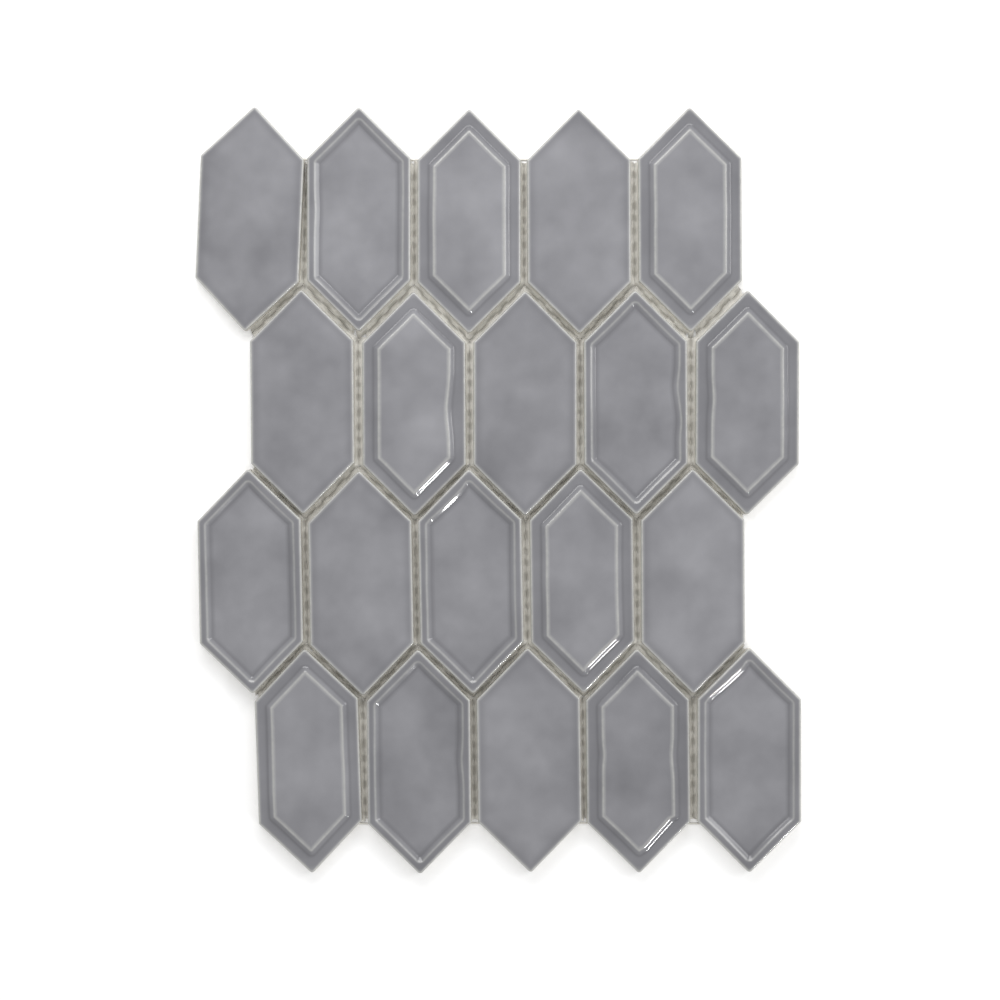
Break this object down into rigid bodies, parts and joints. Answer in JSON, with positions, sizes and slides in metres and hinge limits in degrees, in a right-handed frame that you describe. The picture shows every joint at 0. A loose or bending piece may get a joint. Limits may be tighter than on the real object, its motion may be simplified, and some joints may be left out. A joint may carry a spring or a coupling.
{
  "type": "hexagon mosaic tile sheet",
  "caption": "Mosaic sheet of glossy grey elongated hexagon tiles, some flat and some with a raised or sunken middle, set on a backing net for walls.",
  "frame": {"origin": "middle of the sheet, on the underside of its backing net", "axes": "+X across the sheet, +Y up the sheet along the tiles' long sides, +Z out of the glazed faces"},
  "size_m": [0.2618, 0.331, 0.0082],
  "materials": {
    "glazed_tile": "glossy",
    "net": "matte"
  },
  "bodies": {
    "root": {"flat_tile_1_1": "glazed_tile", "tray_tile_1_2": "glazed_tile", "raised_tile_1_3": "glazed_tile", "flat_tile_1_4": "glazed_tile", "raised_tile_1_5": "glazed_tile", "flat_tile_2_1": "glazed_tile", "raised_tile_2_2": "glazed_tile", "flat_tile_2_3": "glazed_tile", "tray_tile_2_4": "glazed_tile", "raised_tile_2_5": "glazed_tile", "tray_tile_3_1": "glazed_tile", "flat_tile_3_2": "glazed_tile", "tray_tile_3_3": "glazed_tile", "raised_tile_3_4": "glazed_tile", "flat_tile_3_5": "glazed_tile", "raised_tile_4_1": "glazed_tile", "tray_tile_4_2": "glazed_tile", "flat_tile_4_3": "glazed_tile", "raised_tile_4_4": "glazed_tile", "tray_tile_4_5": "glazed_tile", "net_band_1": "net", "net_band_2": "net", "net_band_3": "net", "net_band_4": "net", "net_band_5": "net", "net_band_6": "net", "net_band_7": "net", "net_band_8": "net", "net_band_9": "net", "net_band_10": "net", "net_band_11": "net", "net_band_12": "net", "net_band_13": "net"}
  },
  "joints": []
}
